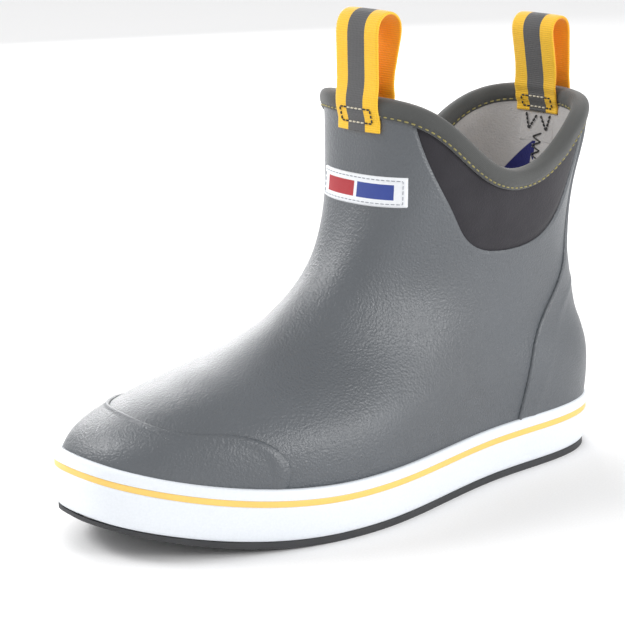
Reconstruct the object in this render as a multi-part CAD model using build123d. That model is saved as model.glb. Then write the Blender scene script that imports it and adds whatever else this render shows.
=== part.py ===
"""A left ankle-height deck boot, built as its separate pieces.

Millimetres. +Z is up, the toe points to -Y, and +X is the outer (lateral) side of the foot.
The origin is on the ground below the middle of the boot.
"""
import os
from math import cos, radians, sin, sqrt

from build123d import *

# Sole outline, seen from above: toe tip first, then round the lateral side to the heel and back.
FOOT_OUTLINE = [
    (-16.7, -152.5), (5.3, -148), (25.3, -129), (42.3, -99), (54.3, -61), (57.2, -29),
    (49.3, 21), (41.3, 63), (39.3, 91), (36.3, 119), (25.3, 142), (-0.7, 152.5),
    (-26.7, 144), (-38.7, 117), (-39.7, 91), (-37.3, 51), (-37.7, 11), (-45.7, -29),
    (-53.7, -61), (-57.2, -99), (-50.7, -131), (-36.7, -147.5),
]
HEEL_POINT = 11
HALF_LENGTH = 152.5
HALF_WIDTH = 57.2
SIDE_POINTS = 18

# Sections of the upper's outer surface, sole to collar:
# height, front end, back end, half width, and how far the shape has gone from sole outline (0) to oval (1).
SECTIONS = [
    (6, -149, 150, 54, 0), (12, -149, 150, 54, 0), (18, -149, 150.2, 54, 0), (26, -149, 150.6, 54, 0),
    (36, -149.5, 151.5, 54.6, 0), (44, -148, 151.8, 54.4, 0.05), (50, -144.5, 151.6, 53.4, 0.12),
    (55, -138.5, 151, 51.8, 0.2),
    (60, -129, 149.7, 49.4, 0.3), (65, -116.5, 148, 46.6, 0.42), (70, -100, 145.8, 44, 0.55),
    (76, -79, 143.8, 41.5, 0.68), (84, -57, 142, 39.3, 0.82), (95, -37.5, 139.5, 37.8, 0.93),
    (110, -21, 137, 38, 1), (128, -10, 137, 41, 1), (148, -4, 139.5, 45, 1),
    (166, -2, 142, 48.4, 1), (180, -1.5, 143, 49.6, 1), (192, -1.5, 143.5, 50.2, 1),
    (204, -1.5, 143.5, 50.5, 1),
]
OVAL_POWER_VAMP = 2.05
OVAL_POWER_SHAFT = 2.4
SHAFT_TURN = 5.0          # the shaft's long axis is turned a little outwards, in degrees
TURN_FROM, TURN_TO = 95, 150

# Top edge of the collar, from the side: (y, z)
COLLAR_EDGE = [(-20, 196), (2, 196), (20, 188.5), (41, 170.5), (57, 160), (72.5, 156.6),
               (88, 159.5), (106, 170.5), (126, 180.5), (165, 184.5)]
BINDING_HEIGHT = 8.0
BINDING_CAP = 1.6

# Layers of the wall, as offsets from the rubber's outer surface
RUBBER = 2.2
STIFFENER = 1.2
WALL = 5.2
OVERLAY = 0.9
WEBBING = 1.6

# Sole lines: height at the heel, at the ball, and the rise of the toe
TREAD_DEPTH, TREAD_RISE = 2.0, 16.4
OUTSOLE_TOP, OUTSOLE_INSET = 3.5, 1.5
STRIPE_HEIGHT, STRIPE_WIDTH = 20.9, 3.0
STRIPE_INSET, STRIPE_DEPTH = 0.25, 1.0
SIDEWALL_TOP = 27.6
SIDEWALL_WALL = 3.2
MIDSOLE_HEEL, MIDSOLE_BALL = 18.0, 11.0
BOARD, FOOTBED = 2.0, 5.0
TOE_RISE, SPRING_START = 14.9, -49.0
STRIPE_RISE, TOP_RISE, TOP_START = 17.6, 18.3, -39.0
RAMP_BACK, RAMP_FRONT = 60.0, -30.0

# Shank in the midsole: a plate with round ends
SHANK_CENTRE = (-1.0, 25.0)
SHANK_LENGTH, SHANK_WIDTH, SHANK_DEPTH = 110.0, 26.0, 1.5

# Tread: chevron grooves inside a plain rim
TREAD_RIM = 8.0
CHEVRON_PITCH, CHEVRON_RISE, CHEVRON_WIDTH = 12, 9.0, 2.4

TOE_PUFF_BACK = -100.0

# Pull loops: a hinge line in the collar bead, and a standing teardrop of webbing
LOOP_WIDTH = 26.0
LOOP_RADIUS = 5.4         # inner radius of the legs' lower ends about the hinge line
LOOP_ANGLE = 47.0         # the legs start this far above the horizontal, in degrees
LOOP_LEAN = 6.5           # the loops lean in over the boot, in degrees
FRONT_HALF_DEPTH, FRONT_SHOULDER = 9.0, 32.5
REAR_HALF_DEPTH, REAR_SHOULDER = 7.0, 31.0
LOOP_TURN = 7.0           # the line through both loops is turned a little more than the shaft
PIVOT_INSET = 3.3
SHAFT_CENTRE, SHAFT_HALF_LENGTH = 71.0, 72.5
FRONT_PIVOT_Z, REAR_PIVOT_Z = 194.0, 182.0
TAB_GAP = 1.5
FRONT_TAB_LOW, REAR_TAB_LOW = 179.8, 168.0
INNER_TAB_LENGTH = 10.0

# Label on the front of the shaft
LABEL_WIDTH, LABEL_LOW, LABEL_HIGH = 50.0, 145.0, 159.5

# Patch and seam tape sewn on inside the heel
PATCH_WIDTH, PATCH_HEIGHT = 24.0, 16.0
TAPE_WIDTH, TAPE_LOW = 8.0, 96.0

outline_curve = Spline(*FOOT_OUTLINE, periodic=True)
heel_place = outline_curve.param_at_point(Vector(*FOOT_OUTLINE[HEEL_POINT]))
lateral_curve = outline_curve.trim(0, heel_place)
medial_curve = outline_curve.trim(heel_place, 1)


def closed_spline(points):
    """A smooth closed curve through points, evenly parametrised so that sections match."""
    even_steps = [i / len(points) for i in range(len(points) + 1)]
    return Edge.make_spline(points, parameters=even_steps, periodic=True)


def side_prism(edges):
    """A solid as wide as the boot, from a closed outline in the YZ plane."""
    return extrude(make_face(Wire(edges)), amount=100, dir=(1, 0, 0), both=True)


def in_side(points):
    """Points (y, z) of the side view as 3D points."""
    return [(0, y, z) for y, z in points]


def outline_face(inset):
    """The sole outline moved inwards, as a flat face."""
    halves = []
    for curve in (lateral_curve, medial_curve):
        for i in range(SIDE_POINTS):
            along = curve % (i / SIDE_POINTS)
            inwards = Vector(-along.Y, along.X, 0) * inset
            halves.append(curve @ (i / SIDE_POINTS) + inwards)
    edge = closed_spline(halves)
    return make_face(Wire([edge.trim(0, 0.5), edge.trim(0.5, 1)]))


def outline_prism(inset, low=-5, high=70):
    """The sole outline moved inwards, as an upright prism."""
    return Pos(0, 0, low) * extrude(outline_face(inset), amount=high - low)


def under(heel, ball=None, rise=TOE_RISE, start=SPRING_START):
    """Everything below a sole line: level at the heel, a ramp if the ball is lower, an arc up to the toe."""
    ball = heel if ball is None else ball
    run = HALF_LENGTH + start
    radius = (run**2 + rise**2) / (2 * rise)

    def on_arc(y):
        return (y, ball + radius - sqrt(radius**2 - (start - y) ** 2))

    arc = ThreePointArc(*in_side([(start, ball), on_arc(start - 0.55 * run), on_arc(start - 1.1 * run)]))
    if heel == ball:
        line = [Line(*in_side([(200, heel), (start, ball)]))]
    else:
        ramp = Spline(*in_side([(RAMP_BACK, heel), (RAMP_FRONT, ball)]), tangents=[(0, -1, 0), (0, -1, 0)])
        line = [
            Line(*in_side([(200, heel), (RAMP_BACK, heel)])),
            ramp,
            Line(*in_side([(RAMP_FRONT, ball), (start, ball)])),
        ]
    toe_end = on_arc(start - 1.1 * run)
    base = Polyline(*in_side([toe_end, (toe_end[0], -40), (200, -40), (200, heel)]))
    return side_prism([*line, arc, *base.edges()])


def below_collar(drop):
    """Everything below the collar's top edge moved down by drop."""
    edge = Spline(*in_side([(y, z - drop) for y, z in COLLAR_EDGE]))
    (y0, z0), (y1, z1) = COLLAR_EDGE[0], COLLAR_EDGE[-1]
    sides = Polyline(*in_side([(y1, z1 - drop), (y1, 60), (-200, 60), (-200, z0 - drop), (y0, z0 - drop)]))
    low = Pos(0, 0, -40) * Box(250, 420, 100.5, align=(Align.CENTER, Align.CENTER, Align.MIN))
    return side_prism([edge, *sides.edges()]) + low


def ring(section, grow):
    """One closed section of the boot's surface, grown outwards by grow."""
    height, front, back, half_width, oval = section
    if section == SECTIONS[-1]:
        height -= grow
    elif height < TURN_FROM:
        height += grow
    front, back, half_width = front - grow, back + grow, half_width + grow
    step = min(1, max(0, (height - TURN_FROM) / (TURN_TO - TURN_FROM)))
    turned = step * step * (3 - 2 * step)
    angle = radians(SHAFT_TURN * turned)
    front_power = OVAL_POWER_VAMP + (OVAL_POWER_SHAFT - OVAL_POWER_VAMP) * turned
    middle = (front + back) / 2
    points = []
    for curve, side in ((lateral_curve, 1), (medial_curve, -1)):
        for i in range(SIDE_POINTS):
            on_sole = curve @ (i / SIDE_POINTS)
            along = max(-1, min(1, on_sole.Y / HALF_LENGTH))
            power = front_power if along < 0 else OVAL_POWER_SHAFT
            on_oval = side * (1 - abs(along) ** power) ** (1 / power)
            x = half_width * ((1 - oval) * on_sole.X / HALF_WIDTH + oval * on_oval)
            y = along * (back - front) / 2
            points.append((x * cos(angle) - y * sin(angle), middle + x * sin(angle) + y * cos(angle), height))
    return make_face(closed_spline(points))


def boot_solid(grow):
    """The whole upper as one solid, its surface moved outwards by grow."""
    return loft([ring(section, grow) for section in SECTIONS])


def layer(outer, inner, region):
    """The layer between two nested boot surfaces, within a region."""
    return (outer & region) - inner


def shaft_frame(outwards):
    """A place at the shaft's front (outwards 1) or back (-1), on the line through both loops."""
    reach = outwards * (SHAFT_HALF_LENGTH - PIVOT_INSET)
    turn = radians(LOOP_TURN)
    return Pos(reach * sin(turn), SHAFT_CENTRE - reach * cos(turn), 0) * Rot(0, 0, LOOP_TURN)


def shaft_block(outwards, width, low, high, depth=25):
    """A block across the shaft wall at its front or back."""
    return shaft_frame(outwards) * Pos(0, 0, (low + high) / 2) * Box(width, depth, high - low)


def teardrop(half_depth, shoulder_height, shift):
    """A pull loop's side outline: the lower end of one leg, and the leg, crown and other leg."""
    angle = radians(LOOP_ANGLE)
    reach = LOOP_RADIUS + WEBBING / 2 + shift
    foot = (reach * cos(angle), reach * sin(angle))
    shoulder = (half_depth + shift, shoulder_height)
    top = (0, shoulder_height + half_depth + shift)
    leg = TangentArc(*in_side([shoulder, foot]), tangent=(0, 0, -1))
    other_leg = TangentArc(*in_side([(-shoulder[0], shoulder[1]), (-foot[0], foot[1])]), tangent=(0, 0, -1))
    crown = ThreePointArc(*in_side([shoulder, top, (-shoulder[0], shoulder[1])]))
    return foot, [leg, crown, other_leg]


def pull_loop(outwards, pivot_z, half_depth, shoulder_height):
    """The standing webbing loop above the collar bead."""
    outer_foot, outer = teardrop(half_depth, shoulder_height, WEBBING / 2)
    inner_foot, inner = teardrop(half_depth, shoulder_height, -WEBBING / 2)
    ends = [
        Line(*in_side([outer_foot, inner_foot])),
        Line(*in_side([(-outer_foot[0], outer_foot[1]), (-inner_foot[0], inner_foot[1])])),
    ]
    strip = extrude(make_face(Wire([*outer, *inner, *ends])), amount=LOOP_WIDTH / 2, dir=(1, 0, 0), both=True)
    return shaft_frame(outwards) * Pos(0, 0, pivot_z) * Rot(-LOOP_LEAN * outwards, 0, 0) * strip


def sole_edge(curve, y):
    """How far across the sole outline lies at y, on one side."""
    points = [curve @ (i / 200) for i in range(201)]
    return min(points, key=lambda point: abs(point.Y - y)).X


def tread_grooves():
    """Chevron grooves across the tread, inside a plain rim."""
    below_groove_top = under(TREAD_DEPTH)
    grooves = []
    for low in range(-136, 130, CHEVRON_PITCH):
        high = low + CHEVRON_RISE
        left = sole_edge(medial_curve, high) + TREAD_RIM
        right = sole_edge(lateral_curve, high) - TREAD_RIM
        quarter = (right - left) / 4
        arms = [(left + i * quarter, low if i % 2 else high) for i in range(5)]
        far_side = [(x, y + CHEVRON_WIDTH) for x, y in reversed(arms)]
        chevron = make_face(Polyline(*arms, *far_side, close=True))
        grooves.append(Pos(0, 0, -5) * extrude(chevron, amount=40) & below_groove_top)
    return grooves


rubber_outside = boot_solid(0)
rubber_inside = boot_solid(-RUBBER)
stiffener_inside = boot_solid(-RUBBER - STIFFENER)
wall_inside = boot_solid(-WALL)
overlay_outside = boot_solid(OVERLAY)
overlay_inside = boot_solid(-WALL - OVERLAY)
tab_outside = boot_solid(OVERLAY + WEBBING)
tab_inside = boot_solid(-WALL - OVERLAY - WEBBING)

under_midsole_top = under(MIDSOLE_HEEL, MIDSOLE_BALL)
under_board_top = under(MIDSOLE_HEEL + BOARD, MIDSOLE_BALL + BOARD)
under_footbed_top = under(MIDSOLE_HEEL + BOARD + FOOTBED, MIDSOLE_BALL + BOARD + FOOTBED)
below_sidewall_top = under(SIDEWALL_TOP, None, TOP_RISE, TOP_START)
below_binding_cap = below_collar(BINDING_CAP)
parts = {}


def build_sole():
    """Tread, midsole, shank, boards, and the sidewall with its stripe."""
    outsole = outline_prism(OUTSOLE_INSET) & (under(OUTSOLE_TOP) - under(0, None, TREAD_RISE))
    parts["outsole"] = outsole.cut(*tread_grooves())

    plate = Pos(*SHANK_CENTRE, 0) * SlotOverall(SHANK_LENGTH, SHANK_WIDTH, rotation=90)
    shank_bottom = under(MIDSOLE_HEEL - SHANK_DEPTH, MIDSOLE_BALL - SHANK_DEPTH)
    shank = extrude(plate, amount=SIDEWALL_TOP) & (under_midsole_top - shank_bottom)
    midsole = outline_prism(SIDEWALL_WALL) & (under_midsole_top - under(OUTSOLE_TOP))
    parts["shank"] = shank
    parts["midsole_wedge"] = midsole - shank

    sidewall = outline_prism(0) & (below_sidewall_top - under(OUTSOLE_TOP))
    sidewall = sidewall - (outline_prism(SIDEWALL_WALL) & under_midsole_top) - rubber_outside
    stripe_top = under(STRIPE_HEIGHT + STRIPE_WIDTH / 2, None, STRIPE_RISE, TOP_START)
    stripe_bottom = under(STRIPE_HEIGHT - STRIPE_WIDTH / 2, None, STRIPE_RISE, TOP_START)
    stripe_band = stripe_top - stripe_bottom
    groove = (outline_prism(-STRIPE_DEPTH) - outline_prism(STRIPE_DEPTH)) & stripe_band
    parts["sidewall_stripe"] = (outline_prism(STRIPE_INSET) - outline_prism(STRIPE_DEPTH)) & stripe_band
    parts["sidewall"] = sidewall - groove

    parts["insole_board"] = rubber_inside & (under_board_top - under_midsole_top)
    parts["footbed"] = wall_inside & (under_footbed_top - under_board_top)


def gore_region():
    """Side view of the stretch gore, open at the top."""
    edge = Spline(*in_side([(9, 215), (11, 185), (18, 162), (31, 139), (40, 126.5), (51, 119.5),
                            (66, 116.5), (82, 116.5), (97, 120), (110, 129), (119, 143), (123, 160),
                            (124, 185), (124, 215)]))
    return side_prism([edge, Line(*in_side([(124, 215), (9, 215)]))])


def build_upper():
    """Rubber upper with its toe cap, heel counter and gores, and what lies behind it."""
    above_midsole = below_binding_cap - under_midsole_top
    rubber = layer(rubber_outside, rubber_inside, above_midsole)
    gore = gore_region()
    parts["upper"] = rubber - gore
    lateral_half = Box(100, 400, 300, align=(Align.MIN, Align.CENTER, Align.MIN))
    parts["gore_lateral"] = rubber & gore & lateral_half
    parts["gore_medial"] = (rubber & gore) - lateral_half

    cap_line = Spline((70, -45), (51.5, -65), (49, -73), (43.7, -82.2), (32.8, -98.5), (20.9, -115.8),
                      (7.3, -124.3), (-7.6, -125.6), (-27.7, -121.3), (-46, -98), (-75, -50))
    cap_sides = Polyline((-75, -50), (-75, -170), (70, -170), (70, -45))
    toe_zone = extrude(make_face(Wire([cap_line, *cap_sides.edges()])), amount=80)
    parts["toe_cap"] = layer(overlay_outside, rubber_outside, toe_zone - below_sidewall_top)

    counter_line = Spline(*in_side([(74, 10), (83, 40), (92, 66), (106, 84), (119, 98), (126.5, 120),
                                    (127.5, 200)]))
    counter_sides = Polyline(*in_side([(127.5, 200), (170, 200), (170, 10), (74, 10)]))
    heel_zone = side_prism([counter_line, *counter_sides.edges()]) & below_collar(BINDING_HEIGHT)
    parts["heel_counter"] = layer(overlay_outside, rubber_outside, heel_zone - below_sidewall_top)

    toe_block = Pos(0, TOE_PUFF_BACK, 0) * Box(200, 100, 80, align=(Align.CENTER, Align.MAX, Align.MIN))
    parts["toe_puff"] = layer(rubber_inside, stiffener_inside, toe_block - under_board_top)
    stiffener_line = Spline(*in_side([(80, 5), (92, 31), (101, 50), (115, 75), (170, 96)]))
    stiffener_sides = Polyline(*in_side([(170, 96), (170, 5), (80, 5)]))
    stiffener_zone = side_prism([stiffener_line, *stiffener_sides.edges()])
    parts["heel_stiffener"] = layer(rubber_inside, stiffener_inside, stiffener_zone - under_board_top)
    lining = layer(rubber_inside, wall_inside, below_binding_cap - under_board_top)
    parts["lining"] = lining - parts["toe_puff"] - parts["heel_stiffener"]


def build_collar():
    """Binding tape, webbing tabs and loops, label, and the pieces sewn on inside the heel."""
    band = below_collar(0) - below_collar(BINDING_HEIGHT)
    wrapped_wall = layer(rubber_outside, wall_inside, below_binding_cap - below_collar(2 * BINDING_HEIGHT))
    binding = layer(overlay_outside, overlay_inside, band) - wrapped_wall
    parts["collar_binding"] = binding

    for name, outwards, pivot_z, tab_low, loop_shape in (
        ("front", 1, FRONT_PIVOT_Z, FRONT_TAB_LOW, (FRONT_HALF_DEPTH, FRONT_SHOULDER)),
        ("rear", -1, REAR_PIVOT_Z, REAR_TAB_LOW, (REAR_HALF_DEPTH, REAR_SHOULDER)),
    ):
        tab_top = pivot_z - TAB_GAP
        outer_block = shaft_block(outwards, LOOP_WIDTH, tab_low, tab_top)
        inner_block = shaft_block(outwards, LOOP_WIDTH, tab_top - INNER_TAB_LENGTH, tab_top)
        outer = layer(tab_outside, rubber_outside, outer_block)
        inner = layer(wall_inside, tab_inside, inner_block)
        parts[name + "_tab_outer"] = outer - binding - parts["heel_counter"]
        parts[name + "_tab_inner"] = inner - binding
        parts[name + "_pull_loop"] = pull_loop(outwards, pivot_z, *loop_shape)

    label_block = shaft_block(1, LABEL_WIDTH, LABEL_LOW, LABEL_HIGH, 40)
    parts["front_label"] = layer(overlay_outside, rubber_outside, label_block)
    patch_top = REAR_PIVOT_Z - TAB_GAP - INNER_TAB_LENGTH
    patch_low = patch_top - PATCH_HEIGHT
    patch_block = shaft_block(-1, PATCH_WIDTH, patch_low, patch_top)
    parts["rear_patch"] = layer(wall_inside, overlay_inside, patch_block)
    tape_block = shaft_block(-1, TAPE_WIDTH, TAPE_LOW, patch_low)
    parts["inner_seam_tape"] = layer(wall_inside, overlay_inside, tape_block)


build_sole()
build_upper()
build_collar()
os.makedirs("parts", exist_ok=True)
for node, shape in parts.items():
    export_step(Compound(children=shape.solids()), f"parts/{node}.step")
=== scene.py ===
"""The looks of a left ankle-height deck boot, built round its CAD frame.

The frame is in metres: +Z up, the toe to -Y, +X the outer (lateral) side of the foot.
Shapes are worked out in millimetres and laid in metres by lay_mesh.
"""

from math import cos, pi, radians, sin

import bmesh
import bpy
import numpy as np
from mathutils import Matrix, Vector


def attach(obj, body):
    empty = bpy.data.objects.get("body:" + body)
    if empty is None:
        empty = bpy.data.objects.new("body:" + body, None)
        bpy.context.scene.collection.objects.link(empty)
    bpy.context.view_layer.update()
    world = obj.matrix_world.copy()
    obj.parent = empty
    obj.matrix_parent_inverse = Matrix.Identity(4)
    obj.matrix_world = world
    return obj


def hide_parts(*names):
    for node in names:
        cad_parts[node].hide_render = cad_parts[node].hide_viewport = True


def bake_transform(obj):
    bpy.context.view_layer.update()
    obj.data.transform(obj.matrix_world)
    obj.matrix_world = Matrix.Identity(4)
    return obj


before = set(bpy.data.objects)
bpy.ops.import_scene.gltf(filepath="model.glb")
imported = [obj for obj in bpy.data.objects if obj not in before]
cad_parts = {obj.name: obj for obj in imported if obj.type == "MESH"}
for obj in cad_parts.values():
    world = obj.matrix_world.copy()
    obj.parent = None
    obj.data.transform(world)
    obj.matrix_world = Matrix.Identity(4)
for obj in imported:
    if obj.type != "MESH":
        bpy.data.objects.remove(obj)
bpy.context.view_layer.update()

MM = 0.001

# The boot's driving shape, as the CAD part has it (mm)
FOOT_OUTLINE = [
    (-16.7, -152.5), (5.3, -148), (25.3, -129), (42.3, -99), (54.3, -61), (57.2, -29),
    (49.3, 21), (41.3, 63), (39.3, 91), (36.3, 119), (25.3, 142), (-0.7, 152.5),
    (-26.7, 144), (-38.7, 117), (-39.7, 91), (-37.3, 51), (-37.7, 11), (-45.7, -29),
    (-53.7, -61), (-57.2, -99), (-50.7, -131), (-36.7, -147.5),
]
HALF_LENGTH, HALF_WIDTH = 152.5, 57.2
# height, front end, back end, half width, and the change from sole outline (0) to oval (1)
SECTIONS = [
    (6, -149, 150, 54, 0), (12, -149, 150, 54, 0), (18, -149, 150.2, 54, 0), (26, -149, 150.6, 54, 0),
    (36, -149.5, 151.5, 54.6, 0), (44, -148, 151.8, 54.4, 0.05), (50, -144.5, 151.6, 53.4, 0.12),
    (55, -138.5, 151, 51.8, 0.2), (60, -129, 149.7, 49.4, 0.3), (65, -116.5, 148, 46.6, 0.42),
    (70, -100, 145.8, 44, 0.55), (76, -79, 143.8, 41.5, 0.68), (84, -57, 142, 39.3, 0.82),
    (95, -37.5, 139.5, 37.8, 0.93), (110, -21, 137, 38, 1), (128, -10, 137, 41, 1), (148, -4, 139.5, 45, 1),
    (166, -2, 142, 48.4, 1), (180, -1.5, 143, 49.6, 1), (192, -1.5, 143.5, 50.2, 1),
    (204, -1.5, 143.5, 50.5, 1),
]
VAMP_POWER, SHAFT_POWER = 2.05, 2.4
SHAFT_TURN = 5.0
TURN_FROM, TURN_TO = 95, 150
COLLAR_EDGE = [(-20, 196), (2, 196), (20, 188.5), (41, 170.5), (57, 160), (72.5, 156.6),
               (88, 159.5), (106, 170.5), (126, 180.5), (165, 184.5)]
GORE_EDGE = [(9, 215), (11, 185), (18, 162), (31, 139), (40, 126.5), (51, 119.5), (66, 116.5),
             (82, 116.5), (97, 120), (110, 129), (119, 143), (123, 160), (124, 185), (124, 215)]
TOE_CAP_EDGE = [(70, -45), (51.5, -65), (49, -73), (43.7, -82.2), (32.8, -98.5), (20.9, -115.8),
                (7.3, -124.3), (-7.6, -125.6), (-27.7, -121.3), (-46, -98), (-75, -50)]
COUNTER_EDGE = [(74, 10), (83, 40), (92, 66), (106, 84), (119, 98), (126.5, 120), (127.5, 200)]
STIFFENER_EDGE = [(80, 5), (92, 31), (101, 50), (115, 75), (170, 96)]
WALL = 5.2
OUTSOLE_TOP, STRIPE_HEIGHT, SIDEWALL_TOP = 3.5, 20.9, 27.6
TOE_RISE, SPRING_START = 14.9, -49.0
STRIPE_RISE, TOP_RISE, TOP_START = 17.6, 18.3, -39.0
# The shaft's middle along the boot, how far the hinge lines are from it, and its half axes
SHAFT_CENTRE, PIVOT_REACH = 71.0, 69.2
SHAFT_HALF_LENGTH, SHAFT_HALF_WIDTH = 72.5, 50.0
PIVOT_Z = {"front": 194.0, "rear": 182.0}
TAB_LOW = {"front": 179.8, "rear": 168.0}
LOOP_WIDTH = 26.0
LOOP_TURN = 7.0
LOOP_LEAN = 6.5
LOOP_SHAPE = {"front": (8.4, 33.1), "rear": (7.0, 31.0)}    # half depth, shoulder height
LOOP_WAIST = 5.6
INNER_TAB_END = -11.5

# Heights that the shells run between before their edges are cut, and how far under the
# rim they end, hidden by the binding
SHELL_LOW, SHELL_HIGH = 15, 199
UNDER_RIM = 3.0
# How near a cut or an overlay's edge the faces are split, and split again
CUT_BANDS, EDGE_BANDS = (4.0, 1.6), (5.0, 3.0)

# Label with its two bars, inner patch, and seam tape: width, then low and high edges
LABEL_WIDTH, LABEL_LOW, LABEL_HIGH = 50.0, 145.0, 159.5
PATCH_WIDTH, PATCH_LOW, PATCH_HIGH = 24.0, 154.5, 170.5
TAPE_WIDTH, TAPE_LOW = 8.0, 96.0
BAR_HALF_HEIGHT, BAR_NEAR, BAR_FAR = 3.9, 0.9, 19.5
ZIGZAG_TOP, ZIGZAG_STEP, ZIGZAG_HALF, ZIGZAG_TURNS = 159.5, 2.3, 3.2, 27
INNER_THREAD_OUT = -0.6


# ---------------------------------------------------------------- curves and the boot's surface

class Spline:
    """A cubic spline through values at knots, closed on itself or free at its ends."""

    def __init__(self, knots, values, closed=False):
        self.knots, self.values = np.asarray(knots, float), np.asarray(values, float)
        step = np.diff(self.knots)
        slope = np.diff(self.values, axis=0) / step[:, None]
        count = len(self.knots)
        rows, right = np.zeros((count, count)), np.zeros(self.values.shape)
        for i in range(1, count - 1):
            rows[i, i - 1:i + 2] = step[i - 1], 2 * (step[i - 1] + step[i]), step[i]
            right[i] = 6 * (slope[i] - slope[i - 1])
        rows[0, 0] = rows[-1, -1] = 1
        if closed:
            rows[0, -1] = -1
            rows[-1, [0, 1, -2, -1]] = step[0] + step[-1], step[0], step[-1], step[0] + step[-1]
            right[-1] = 6 * (slope[0] - slope[-1])
        self.bend = np.linalg.solve(rows, right)

    def __call__(self, at):
        at = np.asarray(at, float)
        i = np.clip(np.searchsorted(self.knots, at) - 1, 0, len(self.knots) - 2)
        step = self.knots[i + 1] - self.knots[i]
        a = ((self.knots[i + 1] - at) / step)[..., None]
        b = 1 - a
        bent = (a**3 - a) * self.bend[i] + (b**3 - b) * self.bend[i + 1]
        return a * self.values[i] + b * self.values[i + 1] + bent * (step**2)[..., None] / 6


def run_length(line):
    """How far along a line of points each one is."""
    return np.r_[0, np.cumsum(np.linalg.norm(np.diff(line, axis=0), axis=1))]


def chord_spline(points, closed=False):
    """A spline through points, its knots spaced by the chords."""
    points = np.array(points + points[:1] if closed else points, float)
    return Spline(run_length(points), points, closed)


def dense(points, closed=False, count=400):
    """Many points along the spline through a few."""
    spline = chord_spline(points, closed)
    return spline(np.linspace(0, spline.knots[-1], count))


def smoothstep(x):
    x = np.clip(x, 0, 1)
    return x * x * (3 - 2 * x)


def sole_table(count=2000):
    """The sole outline from the heel, round the inner side to the toe and back: place, x and y."""
    line = dense(FOOT_OUTLINE, True, 4 * count)[:-1]
    line = np.roll(line, -int(np.argmin(line[:, 1])), axis=0)
    heel = int(np.argmax(line[:, 1]))
    halves = []
    for half in (np.vstack([line[heel:], line[:1]]), line[:heel + 1]):
        length = run_length(half)
        even = np.linspace(0, length[-1], count)
        halves.append(np.c_[np.interp(even, length, half[:, 0]), np.interp(even, length, half[:, 1])])
    places = np.r_[np.linspace(-0.5, 0, count), np.linspace(0, 0.5, count)[1:]]
    return places, np.vstack([halves[0], halves[1][1:]])


SOLE_PLACES, SOLE_LINE = sole_table()
FRONT_END, BACK_END = -SOLE_LINE[:, 1].min(), SOLE_LINE[:, 1].max()
SECTION = Spline([s[0] for s in SECTIONS], [s[1:] for s in SECTIONS])
RIM = dense(COLLAR_EDGE)


def sole_at(place):
    """The sole outline at a place from -0.5 (heel) by the inner side, 0 (toe), to 0.5 (heel)."""
    place = (np.asarray(place, float) + 0.5) % 1.0 - 0.5
    return np.interp(place, SOLE_PLACES, SOLE_LINE[:, 0]), np.interp(place, SOLE_PLACES, SOLE_LINE[:, 1])


def boot(place, height, grow=0.0):
    """Points of the boot's surface moved outwards by grow."""
    place, height = np.broadcast_arrays(np.asarray(place, float), np.asarray(height, float))
    low = 1 - smoothstep((height - 80) / 25)
    front, back, half_width, oval = np.moveaxis(SECTION(np.clip(height - grow * low, 6, 204)), -1, 0)
    front, back, half_width = front - grow, back + grow, half_width + grow
    turned = smoothstep((height - TURN_FROM) / (TURN_TO - TURN_FROM))
    side = np.where((place % 1.0) < 0.5, 1.0, -1.0)
    x, y = sole_at(place)
    along = np.clip(np.where(y < 0, y / FRONT_END, y / BACK_END), -1, 1)
    power = np.where(along < 0, VAMP_POWER + (SHAFT_POWER - VAMP_POWER) * turned, SHAFT_POWER)
    on_oval = side * (1 - np.abs(along)**power)**(1 / power)
    x = half_width * ((1 - oval) * x / HALF_WIDTH + oval * on_oval)
    y = along * (back - front) / 2
    angle = np.radians(SHAFT_TURN) * turned
    middle = (front + back) / 2
    return np.stack([x * np.cos(angle) - y * np.sin(angle),
                     middle + x * np.sin(angle) + y * np.cos(angle), height], axis=-1)


def unit(v):
    return v / np.maximum(np.linalg.norm(v, axis=-1, keepdims=True), 1e-12)


def slopes(place, height, grow=0.0):
    """How the surface moves with place and with height."""
    by_place = (boot(place + 0.002, height, grow) - boot(place - 0.002, height, grow)) / 0.004
    by_height = (boot(place, height + 0.3, grow) - boot(place, height - 0.3, grow)) / 0.6
    return by_place, by_height


def skin(place, height, out, grow=0.0):
    """Points of the surface pushed out along its normal."""
    by_place, by_height = slopes(place, height, grow)
    normal = unit(np.cross(by_place, by_height))
    return boot(place, height, grow) + normal * np.asarray(out, float)[..., None]


def rim_height(place):
    """The height of the collar's top edge at a place, found step by step."""
    height = np.full(np.shape(place), 175.0)
    for _ in range(25):
        height = np.interp(boot(place, height)[..., 1], *RIM.T)
    return height


def edge_distance(line, corners, a, b):
    """Signed distance to a curve: positive on the side that the extra corners close."""
    line = np.asarray(line)
    a, b = np.asarray(a, float), np.asarray(b, float)
    nearest = np.full(a.shape, 1e9)
    for (a0, b0), (a1, b1) in zip(line[:-1], line[1:]):
        da, db = a1 - a0, b1 - b0
        t = np.clip(((a - a0) * da + (b - b0) * db) / (da * da + db * db), 0, 1)
        nearest = np.minimum(nearest, np.hypot(a - a0 - t * da, b - b0 - t * db))
    inside = np.zeros(a.shape, bool)
    ring = np.vstack([line, corners, line[:1]])
    for (a0, b0), (a1, b1) in zip(ring[:-1], ring[1:]):
        crosses = (b0 > b) != (b1 > b)
        rise = b1 - b0 if b1 != b0 else 1e-9
        inside ^= crosses & (a < (a1 - a0) * (b - b0) / rise + a0)
    return np.where(inside, nearest, -nearest)


def gore_distance(points):
    return edge_distance(dense(GORE_EDGE, count=90), [(124, 230), (9, 230)], points[..., 1], points[..., 2])


def toe_cap_distance(points):
    corners = [(-75, -170), (70, -170)]
    return edge_distance(dense(TOE_CAP_EDGE, count=90), corners, points[..., 0], points[..., 1])


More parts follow.
